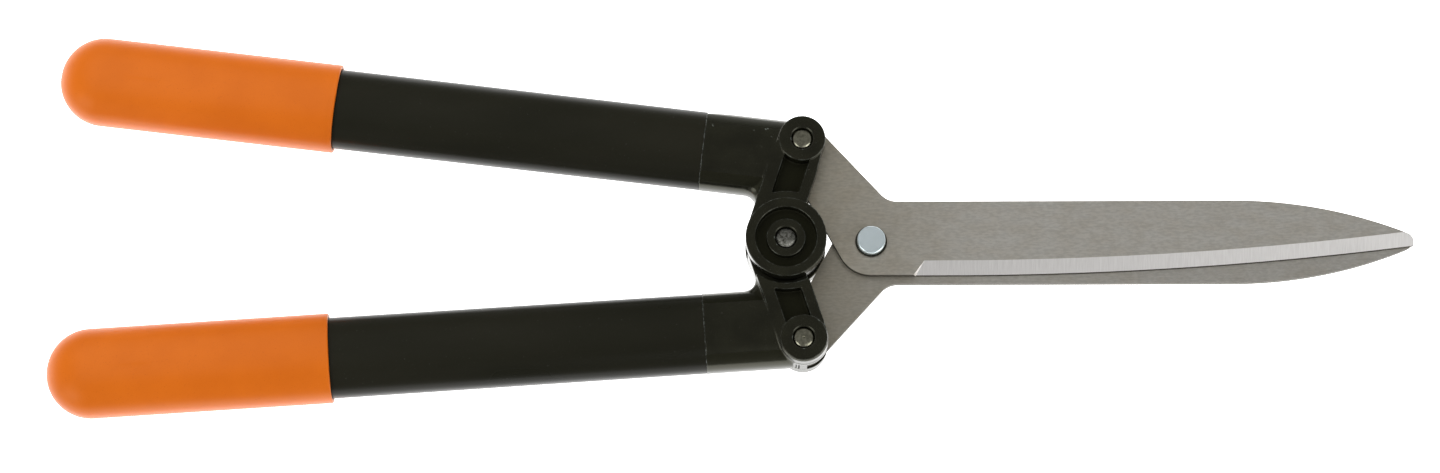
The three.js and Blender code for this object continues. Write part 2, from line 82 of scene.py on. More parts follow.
# heads
HANDLES = {
    "upper": {"side": 1, "tilt": math.radians(7), "offset": 7.3, "arm_end": 9.3, "pocket_end": 20},
    "lower": {"side": -1, "tilt": math.radians(3.6), "offset": 6.6, "arm_end": 10.1, "pocket_end": 22},
}
SLOT_HALF, ARM_RADIUS, ARM_FACE, POCKET_FLOOR = 3.45, 10.2, 11.3, 7
RAIL_OUTER, RAIL_INNER = 5.3, 4.5
BODY_START, ARM_WIDENING, TANG_ROOM = 5, 12, 0.6
BOSS_RADIUS, BOSS_FACE = 9.7, 12
DISC_RADIUS, DISC_FACE, RECESS_RADIUS, RECESS_FLOOR = 16.8, 12.8, 12.7, 8.6
HUB_RADIUS, HUB_FACE = 8.1, 11.6
LUG_HALF, LUG_RADIUS, LUG_HOLE, LUG_GAP = 6, 15.5, 7.6, 0.3
LOWER_ARM_END, UPPER_WEB = 19.1, 19.5
SEAT_RADIUS, SEAT_CHAMFER = 4.45, 0.6
JOINT_SEAT_FLOOR, CENTRE_SEAT_FLOOR = 9.6, 9.4
REAR_SEAT_RADIUS, REAR_SEAT_FLOOR, HUB_REAR_FACE = 7, 9.4, 10
JOINT_BORE, CENTRE_BORE = 3.3, 3.9
CORNER_FILLET, EDGE_FILLET = 6.5, 0.8
SEAM_GAP = 0.005
SPIGOT_END, SPIGOT_WALL = 76, 2.4
VOXEL = 0.3
HEAD_BOX = ((-44.4, -61.0, -13.8), (12.6, 12.6, 13.8))

# tubes and grips; distances run along the tube from the handle's joint
TUBE_WIDTH, TUBE_DEPTH, TUBE_WALL, OVAL_POWER = 33.4, 22, 1.4, 2.4
TUBE_TAPER, TUBE_RIM = 0.6, 0.16
SEAM, TUBE_END, GRIP_START, GRIP_END = 40.6, 293, 195.4, 313
GRIP_WIDTH, GRIP_DEPTH, GRIP_WALL, GRIP_RIM = 37.3, 25.6, 1.6, 0.6
GRIP_INNER_END = TUBE_END + 1.5

# fasteners; a ring is its inner and outer radius and its low and high faces
AXIS_RADIUS = 0.4  # the flat left in the middle of a turned end
BOLT_HEAD_RADIUS, BOLT_HEAD_LOW, BOLT_HEAD_HIGH, BOLT_SHOULDER = 5.9, 4.1, 7.3, 0.7
BOLT_SHANK, BOLT_END = 4, -12.7
FRONT_WASHER = (PIVOT_HOLE, 6.6, 3.45, 3.95)
REAR_WASHER = (PIVOT_HOLE, 8, -4.65, -3.45)
SPRING_WASHER = (PIVOT_HOLE, 6.6, -6.1, -4.98)
NUT_FLATS, NUT_LOW, NUT_HIGH, NUT_CHAMFER = 13, -11.95, -6.45, 0.8
RIVETS = {
    "joint": {
        "head": 4.35, "dome": 11.8, "seat": 9.75, "shank": 3,
        "formed": 4.2, "formed_high": -10.85, "formed_low": -12.1,
    },
    "centre": {
        "head": 4.25, "dome": 11.4, "seat": 9.55, "shank": 3.6,
        "formed": 4.4, "formed_high": -11.45, "formed_low": -12.5,
    },
}
CROWN_RISE = 1.5
JOINT_RINGS = {
    "rivet_washer": (JOINT_BORE, 6.6, -10.7, -9.5),
    "sleeve": (JOINT_BORE, 4.6, -BLADE_FACE, BLADE_FACE),
}
CENTRE_RINGS = {
    "rivet_washer": (CENTRE_BORE, 6.5, -11.3, -10.1),
    "sleeve": (CENTRE_BORE, 5.3, -LUG_HALF, LUG_HALF),
}
SPACER_RADIUS = 8.2

# ------------------------------------------------------------------ camera
VIEW_TILT = math.radians(14)
VIEW_ROLL = math.radians(-0.19)
VIEW_DISTANCE = 1.6
METRES_PER_PIXEL = 0.000417
IMAGE_WIDTH, SENSOR = 1440, 36
LOOK_AT = PIVOT + Vector((-62.85, 3.25, 0)) * MM

# ------------------------------------------------------------------ studio
# the floor, in metres
FLOOR_HALF, FLOOR_HEIGHT = 4, -0.0002
# brightness of the surroundings
SKY_HORIZON, SKY_TOP = 0.75, 0.27
# direction, cosines at which a panel starts and is full, and how much it adds
SKY_PANELS = (
    ((-0.66, -0.5, 0.56), 0.92, 0.98, 2.5),
    ((0.66, -0.5, 0.56), 0.92, 0.98, 2.5),
)


def make_camera():
    camera = bpy.data.cameras.new("camera")
    camera.sensor_width = SENSOR
    camera.lens = VIEW_DISTANCE / METRES_PER_PIXEL / IMAGE_WIDTH * SENSOR
    holder = bpy.data.objects.new("camera", camera)
    bpy.context.scene.collection.objects.link(holder)
    back = Vector((0, -math.sin(VIEW_TILT), math.cos(VIEW_TILT))) * VIEW_DISTANCE
    turn = Matrix.Rotation(VIEW_TILT, 4, "X") @ Matrix.Rotation(VIEW_ROLL, 4, "Z")
    holder.matrix_world = Matrix.Translation(LOOK_AT + back) @ turn
    bpy.context.scene.camera = holder


# ------------------------------------------------------------------ materials
class Shader:
    """A Principled material with a few helpers that add procedural detail to it."""

    def __init__(self, name, color, roughness, metallic=0.0, ior=1.5):
        self.material = bpy.data.materials.new(name)
        self.material.use_nodes = True
        self.tree = self.material.node_tree
        self.main = self.tree.nodes["Principled BSDF"]
        self.main.inputs["Metallic"].default_value = metallic
        self.main.inputs["IOR"].default_value = ior
        self.main.inputs["Base Color"].default_value = (*color, 1)
        self.main.inputs["Roughness"].default_value = roughness
        self.place = self.tree.nodes.new("ShaderNodeTexCoord").outputs["Object"]
        self.bumps = None

    def add(self, kind, **inputs):
        made = self.tree.nodes.new(kind)
        for name, value in inputs.items():
            socket = made.inputs[name.replace("_", " ")]
            if isinstance(value, bpy.types.NodeSocket):
                self.tree.links.new(value, socket)
            else:
                socket.default_value = value
        return made

    def noise(self, size, stretch=(1, 1, 1), detail=3, roughness=0.55):
        """Noise with features of about size millimetres, drawn out by stretch along each axis."""
        scale = [1 / (size * MM * s) for s in stretch]
        mapping = self.add("ShaderNodeMapping", Vector=self.place, Scale=scale)
        place = mapping.outputs[0]
        made = self.add("ShaderNodeTexNoise", Vector=place, Scale=1.0, Detail=detail, Roughness=roughness)
        return made.outputs["Fac"]

    def spread(self, value, low, high, out_low=0.0, out_high=1.0):
        made = self.tree.nodes.new("ShaderNodeMapRange")
        self.tree.links.new(value, made.inputs[0])
        for index, number in zip((1, 2, 3, 4), (low, high, out_low, out_high)):
            made.inputs[index].default_value = number
        return made.outputs[0]

    def mix_color(self, factor, first, second, blend="MIX"):
        made = self.tree.nodes.new("ShaderNodeMix")
        made.data_type = "RGBA"
        made.blend_type = blend
        for socket, value in zip((made.inputs[0], made.inputs[6], made.inputs[7]), (factor, first, second)):
            if isinstance(value, bpy.types.NodeSocket):
                self.tree.links.new(value, socket)
            else:
                socket.default_value = value if isinstance(value, (int, float)) else (*value[:3], 1)
        return made.outputs[2]

    def color(self, socket):
        self.tree.links.new(socket, self.main.inputs["Base Color"])

    def roughness(self, socket):
        self.tree.links.new(socket, self.main.inputs["Roughness"])

    def bump(self, height, distance, strength=1.0):
        """Adds relief of about distance millimetres on top of any relief already there."""
        made = self.add("ShaderNodeBump", Height=height, Distance=distance * MM, Strength=strength)
        if self.bumps:
            self.tree.links.new(self.bumps, made.inputs["Normal"])
        self.bumps = made.outputs[0]
        self.tree.links.new(self.bumps, self.main.inputs["Normal"])

    def edge_highlights(self, base, edge_lit, low=0.52, high=0.58):
        """Painted highlight: a lighter colour on convex edges, broken up by noise."""
        pointiness = self.tree.nodes.new("ShaderNodeNewGeometry").outputs["Pointiness"]
        edge = self.spread(pointiness, low, high)
        patchy = self.spread(self.noise(2.5), 0.42, 0.62)
        mask = self.add("ShaderNodeMath")
        mask.operation = "MULTIPLY"
        self.tree.links.new(edge, mask.inputs[0])
        self.tree.links.new(patchy, mask.inputs[1])
        return self.mix_color(mask.outputs[0], base, edge_lit)


def blade_steel(name, tone):
    """The rolled faces, brushed lengthwise and stained brown near the tang; tone below 1 darkens them, as
    painted shade.
    """
    shader = Shader(name, (0.66, 0.63, 0.58), 0.4, metallic=0.9)
    long_grain = shader.noise(0.4, stretch=(18, 1, 1), detail=4)
    mottle = shader.noise(5, stretch=(1.8, 1, 1), detail=5)
    light = [tone * part for part in (0.815, 0.79, 0.73)]
    dark = [tone * part for part in (0.74, 0.715, 0.655)]
    grain = shader.mix_color(shader.spread(long_grain, 0.3, 0.7), dark, light)
    cloudy = shader.mix_color(shader.spread(mottle, 0.35, 0.65), grain, (0.95, 0.93, 0.9), "MULTIPLY")
    speckle = shader.spread(shader.noise(0.9, stretch=(2.5, 1, 1)), 0.38, 0.62)
    cloudy = shader.mix_color(speckle, cloudy, (0.87, 0.87, 0.86), "MULTIPLY")
    along = shader.add("ShaderNodeSeparateXYZ", Vector=shader.place).outputs[0]
    stain = shader.spread(along, PIVOT.x + 0.045, PIVOT.x - 0.03)
    shader.color(shader.mix_color(stain, cloudy, (0.7, 0.67, 0.59), "MULTIPLY"))
    shader.roughness(shader.spread(long_grain, 0.3, 0.7, 0.36, 0.44))
    shader.bump(long_grain, 0.012, 0.5)
    return shader.material


def edge_shadow_steel():
    """The blade's own outline and the land under its bevel, darker than the rolled faces: painted shadow
    along the blade's edges.
    """
    shader = Shader("edge_shadow_steel", (0.07, 0.065, 0.05), 0.5, metallic=0.8)
    tears = shader.noise(0.25, stretch=(1, 1, 6), detail=4)
    shader.color(shader.mix_color(shader.spread(tears, 0.3, 0.7), (0.04, 0.037, 0.028), (0.1, 0.094, 0.078)))
    shader.roughness(shader.spread(tears, 0.3, 0.7, 0.4, 0.6))
    shader.bump(tears, 0.03, 0.6)
    return shader.material


def ground_bevel():
    shader = Shader("ground_bevel", (0.8, 0.78, 0.76), 0.42, metallic=1)
    cross_grain = shader.noise(0.5, stretch=(1, 14, 14), detail=5)
    tone = shader.spread(cross_grain, 0.3, 0.7)
    shader.color(shader.mix_color(tone, (0.75, 0.73, 0.71), (0.85, 0.835, 0.815)))
    shader.roughness(shader.spread(cross_grain, 0.3, 0.7, 0.38, 0.46))
    shader.bump(cross_grain, 0.012, 0.5)
    return shader.material


def zinc_plate():
    shader = Shader("zinc_plate", (0.8, 0.91, 0.94), 0.22, metallic=0.8)
    mottle = shader.noise(2.2, detail=4)
    shader.color(shader.mix_color(shader.spread(mottle, 0.3, 0.7), (0.76, 0.87, 0.9), (0.84, 0.95, 0.98)))
    shader.roughness(shader.spread(shader.noise(0.8), 0.3, 0.7, 0.18, 0.26))
    shader.bump(mottle, 0.01, 0.4)
    return shader.material


def rivet_steel():
    shader = Shader("rivet_steel", (0.36, 0.35, 0.31), 0.24, metallic=1)
    mottle = shader.noise(1.4, detail=5)
    shader.color(shader.mix_color(shader.spread(mottle, 0.35, 0.65), (0.23, 0.225, 0.165), (0.4, 0.39, 0.3)))
    shader.roughness(shader.spread(mottle, 0.3, 0.7, 0.24, 0.16))
    shader.bump(mottle, 0.02, 0.5)
    return shader.material


def rough_rivet_steel():
    """The centre rivet's end is left rough by the tool that formed it."""
    shader = Shader("rough_rivet_steel", (0.36, 0.34, 0.32), 0.34, metallic=1)
    pits = shader.noise(1.1, detail=6, roughness=0.7)
    shader.color(shader.mix_color(shader.spread(pits, 0.38, 0.62), (0.06, 0.06, 0.045), (0.4, 0.4, 0.36)))
    shader.roughness(shader.spread(pits, 0.35, 0.65, 0.5, 0.26))
    shader.bump(pits, 0.35, 0.9)
    return shader.material


def black_nylon():
    shader = Shader("black_nylon", (0.004, 0.004, 0.002), 0.22)
    shader.main.inputs["Specular Tint"].default_value = (1, 0.99, 0.78, 1)
    grain = shader.noise(0.3, detail=2)
    cloud = shader.noise(12, detail=4)
    dust = shader.spread(shader.noise(0.55, detail=1), 0.75, 0.82)
    base = shader.mix_color(shader.spread(cloud, 0.35, 0.65), (0.0025, 0.0025, 0.001), (0.006, 0.006, 0.003))
    # painted highlight: a lighter colour along the moulding's convex edges
    edge_lit = shader.edge_highlights(base, (0.085, 0.095, 0.085))
    shader.color(shader.mix_color(dust, edge_lit, (0.05, 0.05, 0.045)))
    shader.roughness(shader.spread(cloud, 0.3, 0.7, 0.18, 0.26))
    shader.bump(grain, 0.008, 0.4)
    return shader.material


def sunken_shade_nylon():
    """The sunken floors of the mouldings: rougher than the faces above and reflecting less, as painted shade
    in the pockets and the disc recess.
    """
    shader = Shader("sunken_shade_nylon", (0.004, 0.004, 0.002), 0.5, ior=1.3)
    shader.main.inputs["Specular Tint"].default_value = (1, 0.99, 0.7, 1)
    grain = shader.noise(0.4, detail=3)
    tone = shader.spread(grain, 0.35, 0.65)
    shader.color(shader.mix_color(tone, (0.0028, 0.0028, 0.001), (0.0055, 0.0055, 0.0025)))
    shader.roughness(shader.spread(grain, 0.3, 0.7, 0.42, 0.58))
    shader.bump(grain, 0.02, 0.6)
    return shader.material


def black_coating():
    shader = Shader("black_coating", (0.01, 0.01, 0.0055), 0.32, ior=1.23)
    peel = shader.noise(0.9, detail=2)
    cloud = shader.noise(40, stretch=(3, 1, 1))
    dust = shader.spread(shader.noise(0.7, detail=1), 0.74, 0.8)
    base = shader.mix_color(shader.spread(cloud, 0.35, 0.65), (0.0085, 0.0085, 0.005), (0.012, 0.0115, 0.007))
    shader.color(shader.mix_color(dust, base, (0.035, 0.035, 0.03)))
    shader.roughness(shader.spread(cloud, 0.3, 0.7, 0.26, 0.33))
    shader.bump(peel, 0.012, 0.5)
    return shader.material


def seam_glint_rim():
    """The tube's end at the seam, light in patches: a painted highlight along the seam's edge."""
    shader = Shader("seam_glint_rim", (0.3, 0.33, 0.31), 0.4)
    glint_patches = shader.noise(0.9, detail=3)
    shader.color(shader.mix_color(shader.spread(glint_patches, 0.46, 0.54), (0.006, 0.006, 0.003), (0.3, 0.33, 0.32)))
    shader.roughness(shader.spread(glint_patches, 0.3, 0.7, 0.35, 0.5))
    shader.bump(glint_patches, 0.03, 0.6)
    return shader.material


def orange_plastic():
    shader = Shader("orange_plastic", (0.54, 0.112, 0.003), 0.46, ior=1.42)
    shader.main.inputs["Specular Tint"].default_value = (1, 0.8, 0.55, 1)
    grain = shader.noise(0.35, detail=2)
    cloud = shader.noise(22, detail=3)
    speck = shader.spread(shader.noise(0.6, detail=2), 0.62, 0.75)
    base = shader.mix_color(shader.spread(cloud, 0.35, 0.65), (0.525, 0.107, 0.0025), (0.56, 0.118, 0.0035))
    shader.color(shader.mix_color(speck, base, (0.47, 0.09, 0.0025)))
    shader.roughness(shader.spread(grain, 0.3, 0.7, 0.34, 0.44))
    shader.bump(grain, 0.03, 0.6)
    return shader.material


def pale_floor():
    """A pale sheet, lit from below as well, so that it stays white around the shears."""
    shader = Shader("pale_floor", (0.9, 0.9, 0.9), 0.9)
    shader.main.inputs["Emission Color"].default_value = (1, 1, 1, 1)
    shader.main.inputs["Emission Strength"].default_value = 1.45
    return shader.material


# ------------------------------------------------------------------ mesh helpers
def to_metres(points, origin):
    return (np.asarray(points, float) * MM + np.array(origin)).tolist()


def plain_object(name, points, faces):
    """A mesh with its faces turned outwards, in the scene."""
    mesh = bpy.data.meshes.new(name)
    mesh.from_pydata(points, [], faces)
    obj = bpy.data.objects.new(name, mesh)
    bpy.context.scene.collection.objects.link(obj)
    bm = bmesh.new()
    bm.from_mesh(mesh)
    bmesh.ops.recalc_face_normals(bm, faces=bm.faces)
    bm.to_mesh(mesh)
    bm.free()
    return obj


def make_piece(name, points, faces, origin, body, materials, replaced, smooth_angle=35):
    """A mesh from points in millimetres about origin, riding on a body, in place of the named CAD nodes."""
    obj = plain_object(name, to_metres(points, origin), faces)
    mesh = obj.data
    mesh.shade_smooth()
    mesh.set_sharp_from_angle(angle=math.radians(smooth_angle))
    for material in materials:
        mesh.materials.append(material)
    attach(obj, body)
    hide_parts(*replaced)
    return obj


def skin(rings, closed=False):
    """Points and faces over rings of equal length: a ring closed on itself, or capped at both ends."""
    count = len(rings[0])
    points = [p for ring in rings for p in ring]
    total = len(rings)
    faces = []
    for i in range(total if closed else total - 1):
        for j in range(count):
            a, b = i * count + j, i * count + (j + 1) % count
            c, d = (i + 1) % total * count + (j + 1) % count, (i + 1) % total * count + j
            faces.append((a, b, c, d))
    if not closed:
        faces += [tuple(range(count)), tuple(range((total - 1) * count, total * count))]
    return points, faces


def soften(points, radius, closed=False, steps=4):
    """The same outline with each corner turned into a curve of about that radius."""
    result = []
    count = len(points)
    for i, here in enumerate(points):
        if not closed and i in (0, count - 1):
            result.append(here)
            continue
        here = np.array(here, float)
        before = np.array(points[i - 1], float) - here
        after = np.array(points[(i + 1) % count], float) - here
        reach = min(radius, 0.45 * np.linalg.norm(before), 0.45 * np.linalg.norm(after))
        start = here + before / np.linalg.norm(before) * reach
        end = here + after / np.linalg.norm(after) * reach
        for k in range(steps + 1):
            t = k / steps
            result.append(tuple((1 - t) ** 2 * start + 2 * t * (1 - t) * here + t * t * end))
    return result


def turned(profile, facets=96):
    """Rings of a solid turned about the Z axis, from a profile of (radius, z)."""
    angles = [2 * math.pi * k / facets for k in range(facets)]
    return [[(r * math.cos(a), r * math.sin(a), z) for a in angles] for r, z in profile]


def washer_rings(inner, outer, low, high, edge=0.15):
    corners = [(inner, low), (outer, low), (outer, high), (inner, high)]
    return turned(soften(corners, edge, closed=True))


# ------------------------------------------------------------------ blades
def arc(x, y, radius, start, end, steps):
    angles = [start + (end - start) * k / steps for k in range(steps + 1)]
    return [(x + radius * math.cos(a), y + radius * math.sin(a)) for a in angles]


def edge_height(x):
    return EDGE_Y + max(0, x - EDGE_STRAIGHT_X) ** 2 / (2 * EDGE_RADIUS)


def blade_outline():
    """Front blade: round the tip, along the back, down the neck, round the tang and heel, along the edge."""
    joint = TANG_JOINT
    outward = math.pi / 2 - TANG_SLOPE
    reach = joint.x * math.cos(outward) + joint.y * math.sin(outward) + TANG_RADIUS
    neck_y = BLADE_BACK + NECK_RADIUS
    neck_x = (reach + NECK_RADIUS - neck_y * math.sin(outward)) / math.cos(outward)
    inward = math.atan2(joint.y, joint.x) + math.pi / 2 - TANG_TAPER
    back_y = BLADE_BACK - BACK_RADIUS
    tip_x = TIP_X - TIP_RADIUS
    tip_y = back_y + math.sqrt((BACK_RADIUS - TIP_RADIUS) ** 2 - (tip_x - BACK_END_X) ** 2)
    to_edge = -math.asin((tip_y - edge_height(TIP_X)) / TIP_RADIUS)
    nose_end = tip_x + TIP_RADIUS * math.cos(to_edge)
    to_tip = math.atan2(tip_y - back_y, tip_x - BACK_END_X)
    steps = 60
    edge = [EDGE_START_X + (nose_end - EDGE_START_X) * k / steps for k in range(steps)]
    return (
        arc(tip_x, tip_y, TIP_RADIUS, to_edge, to_tip, 26)
        + arc(BACK_END_X, back_y, BACK_RADIUS, to_tip, math.pi / 2, 40)[1:]
        + arc(neck_x, neck_y, NECK_RADIUS, -math.pi / 2, outward - math.pi, 16)
        + arc(joint.x, joint.y, TANG_RADIUS, outward, inward, 48)
        + arc(0, 0, HEEL_RADIUS, inward, 1.5 * math.pi, 48)
        + [(x, edge_height(x)) for x in edge]
    )


def subtract(obj, cutter):
    modifier = obj.modifiers.new("cut", "BOOLEAN")
    modifier.operation = "DIFFERENCE"
    modifier.solver = "EXACT"
    modifier.object = cutter
    apply_modifiers(obj)
    bpy.data.objects.remove(cutter)


def apply_modifiers(obj):
    graph = bpy.context.evaluated_depsgraph_get()
    mesh = bpy.data.meshes.new_from_object(obj.evaluated_get(graph))
    obj.modifiers.clear()
    obj.data = mesh


def bevel_cutter():
    """A wedge that grinds the blade from the bevel's upper line down to a steep land at the cutting edge."""
    drop = BLADE_FACE - BLADE_LOW - EDGE_LAND
    low = BLADE_LOW + EDGE_LAND
    run = 2
    top = low + drop + drop * run / BEVEL_WIDTH
    past_tip = 4
    below = 1
    steps = 40
    rings = []
    for k in range(steps + 1):
        x = EDGE_START_X + (TIP_X + past_tip - EDGE_START_X) * k / steps
        slant, slope = (BEVEL_START, BEVEL_END_SLOPE) if k == 0 else (0, 0)
        y = edge_height(x) + EDGE_FLARE
        foot = y - EDGE_FLARE * (1 + below / EDGE_LAND)
        rings.append([
            (x + slant, y + BEVEL_WIDTH + run, top),
            (x - slope, y - run, top),
            (x, foot, low - EDGE_LAND - below),
            (x, y, low),
        ])
    return skin(rings)


def blade_face_material(normal):
    """A face's place in the blade's materials: rolled face, ground bevel or outline in painted shadow."""
    rolled, ground, edge_shadow = 0, 1, 2
    on_bevel = abs(normal.z - math.cos(BEVEL_TILT)) < 0.02 and normal.y < -0.2
    bevel_rounding = 0.5 < normal.z < 0.9 and normal.y < 0
    bevel_end = normal.x > 0.3 and normal.z > 0.2 and normal.y < 0
    if on_bevel or bevel_rounding or bevel_end:
        return ground
    return rolled if abs(normal.z) > 0.95 else edge_shadow


def make_blade(name, body, side, materials):
    """A blade in the front blade's place, or turned over about the X axis for side -1."""
    outline = blade_outline()
    blade = plain_object(name, *skin([[(x, y, z) for x, y in outline] for z in (BLADE_LOW, BLADE_FACE)]))
    subtract(blade, plain_object("wedge", *bevel_cutter()))
    for centre, radius in ((Vector(), PIVOT_HOLE), (TANG_JOINT, TANG_HOLE)):
        drill = turned([(radius, end) for end in DRILL_ENDS])
        drill = [[(x + centre.x, y + centre.y, z) for x, y, z in ring] for ring in drill]
        subtract(blade, plain_object("drill", *skin(drill)))
    edges = blade.modifiers.new("edges", "BEVEL")
    edges.width = BLADE_ROUNDING
    edges.segments = 2
    edges.limit_method = "ANGLE"
    edges.angle_limit = math.radians(14)
    apply_modifiers(blade)
    mesh = blade.data
    mesh.materials.clear()
    for material in materials:
        mesh.materials.append(material)
    for face in mesh.polygons:
        face.material_index = blade_face_material(face.normal)
    turn = Matrix.Rotation(0 if side > 0 else math.pi, 4, "X")
    mesh.transform(Matrix.Translation(PIVOT) @ turn @ Matrix.Diagonal((MM, MM, MM, 1)))
    mesh.shade_smooth()
    mesh.set_sharp_from_angle(angle=math.radians(5))
    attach(blade, body)
    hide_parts(name.replace("_visual", ""))
    return blade


# ------------------------------------------------------------------ distance fields
def unite(a, b, fillet):
    """Union of two fields, with a round fillet where they meet."""
    corner = np.hypot(np.maximum(fillet - a, 0), np.maximum(fillet - b, 0))
    return np.maximum(fillet, np.minimum(a, b)) - corner


def overlap(a, b, rounding):
    """Intersection of two fields, with a rounded edge."""
    corner = np.hypot(np.maximum(rounding + a, 0), np.maximum(rounding + b, 0))
    return np.minimum(-rounding, np.maximum(a, b)) + corner


def remove(a, b, rounding=0.3):
    return overlap(a, -b, rounding)


def smooth_step(value, low, high):
    t = np.clip((value - low) / (high - low), 0, 1)
    return t * t * (3 - 2 * t)


def seat_radius(z, face):
    """A rivet's seat, straight and then chamfered open to its face."""
    return SEAT_RADIUS + np.clip(z - face + SEAT_CHAMFER, 0, 2)


def head_field(name, x, v, z):
    """Distance field of a moulded head, from its handle's joint; v runs away from the shears' middle line."""
    spec = HANDLES[name]
    tilt, arm_end = spec["tilt"], spec["arm_end"]
    depth = np.abs(z)
    from_joint = np.hypot(x, v)
    from_centre = np.hypot(x - LINK.x, v - LINK.y)

    # oval body, flush with the tube
    along = x * math.cos(tilt) - v * math.sin(tilt)
    across = x * math.sin(tilt) + v * math.cos(tilt) + spec["offset"]
    power = OVAL_POWER
    oval = (np.abs(across) / (TUBE_WIDTH / 2)) ** power + (depth / (TUBE_DEPTH / 2)) ** power
    oval = np.maximum(oval, 1e-6) ** (1 / power)
    body = np.hypot(across, z) * (1 - 1 / oval)
    body = overlap(body, -along - SEAM + SEAM_GAP, 0.12)
    body = np.maximum(body, along + BODY_START)

    # arm from the joint to the centre disc
    angle = math.atan2(LINK.y, LINK.x) - math.asin((DISC_RADIUS - ARM_RADIUS) / LINK.length)
    reach = x * math.cos(angle) + v * math.sin(angle)
    beside = x * math.sin(angle) - v * math.cos(angle)
    centre_reach = LINK.x * math.cos(angle) + LINK.y * math.sin(angle)
    width = arm_end + (ARM_RADIUS - arm_end) * np.clip(reach / ARM_WIDENING, 0, 1)
    arm = np.where(reach < 0, from_joint - arm_end, np.abs(beside) - width)
    arm = np.maximum(arm, reach - centre_reach)

    # a wide fillet in the inner corner between body and arm, near the mid plane, and a small one elsewhere
    inner_side = smooth_step(-across, 4, 12)
    near_middle = 1 - smooth_step(depth, 4.5, 9)
    fillet = EDGE_FILLET + (CORNER_FILLET - EDGE_FILLET) * inner_side * near_middle

    boss = overlap(from_joint - BOSS_RADIUS, depth - BOSS_FACE, 0.3)
    if name == "upper":
        shape = unite(overlap(arm, depth - ARM_FACE, 0.4), body, fillet)
        shape = unite(shape, boss, 0.25)
        shape = unite(shape, overlap(from_centre - DISC_RADIUS, depth - DISC_FACE, 0.35), 0.3)
        shape = remove(shape, np.maximum(from_centre - UPPER_WEB, depth - LUG_HALF - LUG_GAP), 0.4)
    else:
        thick = overlap(arm, LOWER_ARM_END - from_centre, 1.6)
        shape = unite(overlap(thick, depth - ARM_FACE, 0.4), overlap(arm, depth - LUG_HALF, 0.4), 0.5)
        body = np.maximum(body, np.minimum(LOWER_ARM_END - from_centre, depth - LUG_HALF))
        shape = unite(shape, body, fillet)
        shape = remove(shape, np.maximum(from_centre - LOWER_ARM_END, LUG_HALF - depth), 0.4)
        shape = unite(shape, boss, 0.25)
        shape = unite(shape, overlap(from_centre - LUG_RADIUS, depth - LUG_HALF, 0.5), 0.6)

    # fork slot for the tang, open to the side that the tang swings to
    room = TANG_RADIUS + TANG_ROOM
    edge = math.atan2(-TANG_JOINT.y, -TANG_JOINT.x) - TANG_TAPER
    past_wall = x * math.sin(edge) - v * math.cos(edge) - room
    down = x * math.cos(edge) + v * math.sin(edge)
    open_side = np.maximum(np.maximum(past_wall, v - room), np.minimum(-x, -down))
    slot = np.minimum(from_joint - room, open_side)
    shape = remove(shape, np.maximum(slot, depth - SLOT_HALF), 0.25)

    # pockets between the rails
    pocket = overlap(beside - (ARM_RADIUS - RAIL_OUTER), RAIL_INNER - ARM_RADIUS - beside, 0.8)
    pocket = overlap(pocket, BOSS_RADIUS - from_joint, 0.2)
    pocket = overlap(pocket, spec["pocket_end"] - from_centre, 0.8)
    pocket = np.maximum(pocket, -reach)
    shape = remove(shape, overlap(pocket, POCKET_FLOOR - depth, 0.5), 0.35)

    # rivet seats and the centre joint
    front_seat = np.maximum(from_joint - seat_radius(z, BOSS_FACE), JOINT_SEAT_FLOOR - z)
    rear_seat = np.maximum(from_joint - REAR_SEAT_RADIUS, REAR_SEAT_FLOOR + z)
    shape = remove(remove(shape, front_seat, 0.1), rear_seat, 0.3)
    shape = remove(shape, from_joint - JOINT_BORE, 0.2)
    if name == "upper":
        recess = overlap(from_centre - RECESS_RADIUS, RECESS_FLOOR - depth, 0.4)
        hub = overlap(from_centre - HUB_RADIUS, np.maximum(z - HUB_FACE, -z - HUB_REAR_FACE), 0.3)
        shape = remove(shape, np.maximum(recess, -hub), 0.3)
        hub_seat = np.maximum(from_centre - seat_radius(z, HUB_FACE), CENTRE_SEAT_FLOOR - z)
        shape = remove(shape, hub_seat, 0.1)
        shape = remove(shape, from_centre - CENTRE_BORE, 0.2)
    else:
        shape = remove(shape, from_centre - LUG_HOLE, 0.5)
    return shape


def make_spigot(name):
    """The hollow oval spigot that the tube slides over, from inside the head."""
    spec = HANDLES[name]
    y = -spec["offset"] * spec["side"]
    outer = TUBE_WALL + 0.3
    inner = outer + SPIGOT_WALL
    corners = [(SEAM - 1, outer), (SPIGOT_END, outer), (SPIGOT_END, inner), (SEAM - 1, inner)]
    rings = [oval_ring(along, y, TUBE_WIDTH - 2 * wall, TUBE_DEPTH - 2 * wall) for along, wall in corners]
    return skin(along_handle(name, rings), closed=True)


def make_head(name, materials):
    side = HANDLES[name]["side"]
    low, high = (np.array(corner) for corner in HEAD_BOX)
    counts = np.ceil((high - low) / VOXEL).astype(int)
    x, v, z = (low[k] + VOXEL * np.arange(counts[k]) for k in range(3))
    field = head_field(name, x[:, None, None], v[None, :, None], z[None, None, :])
    limit = 3 * VOXEL
    grid = openvdb.FloatGrid(limit)
    grid.copyFromArray(np.clip(field, -limit, limit).astype(np.float32))
    points, faces = grid.convertToQuads(isovalue=0.0)
    points = points * VOXEL + low
    points[:, 1] *= side
    spigot_points, spigot_faces = make_spigot(name)
    faces = faces.tolist() + [[i + len(points) for i in face] for face in spigot_faces]
    points = np.vstack([points, spigot_points])
    head = make_piece(
        f"{name}_head_moulding", points, faces, JOINT[name], f"{name}_handle",
        materials, [f"{name}_head"], smooth_angle=80,
    )
    # Level faces on the sunken floors take the second material: painted shade in the pockets and the disc
    # recess.
    margin = 0.6
    for face in head.data.polygons:
        level = abs(face.normal.z) > 0.6
        depth = abs(face.center.z - PIVOT.z) / MM
        sunken = POCKET_FLOOR - margin < depth < RECESS_FLOOR + margin
        face.material_index = 1 if level and sunken else 0
    return head


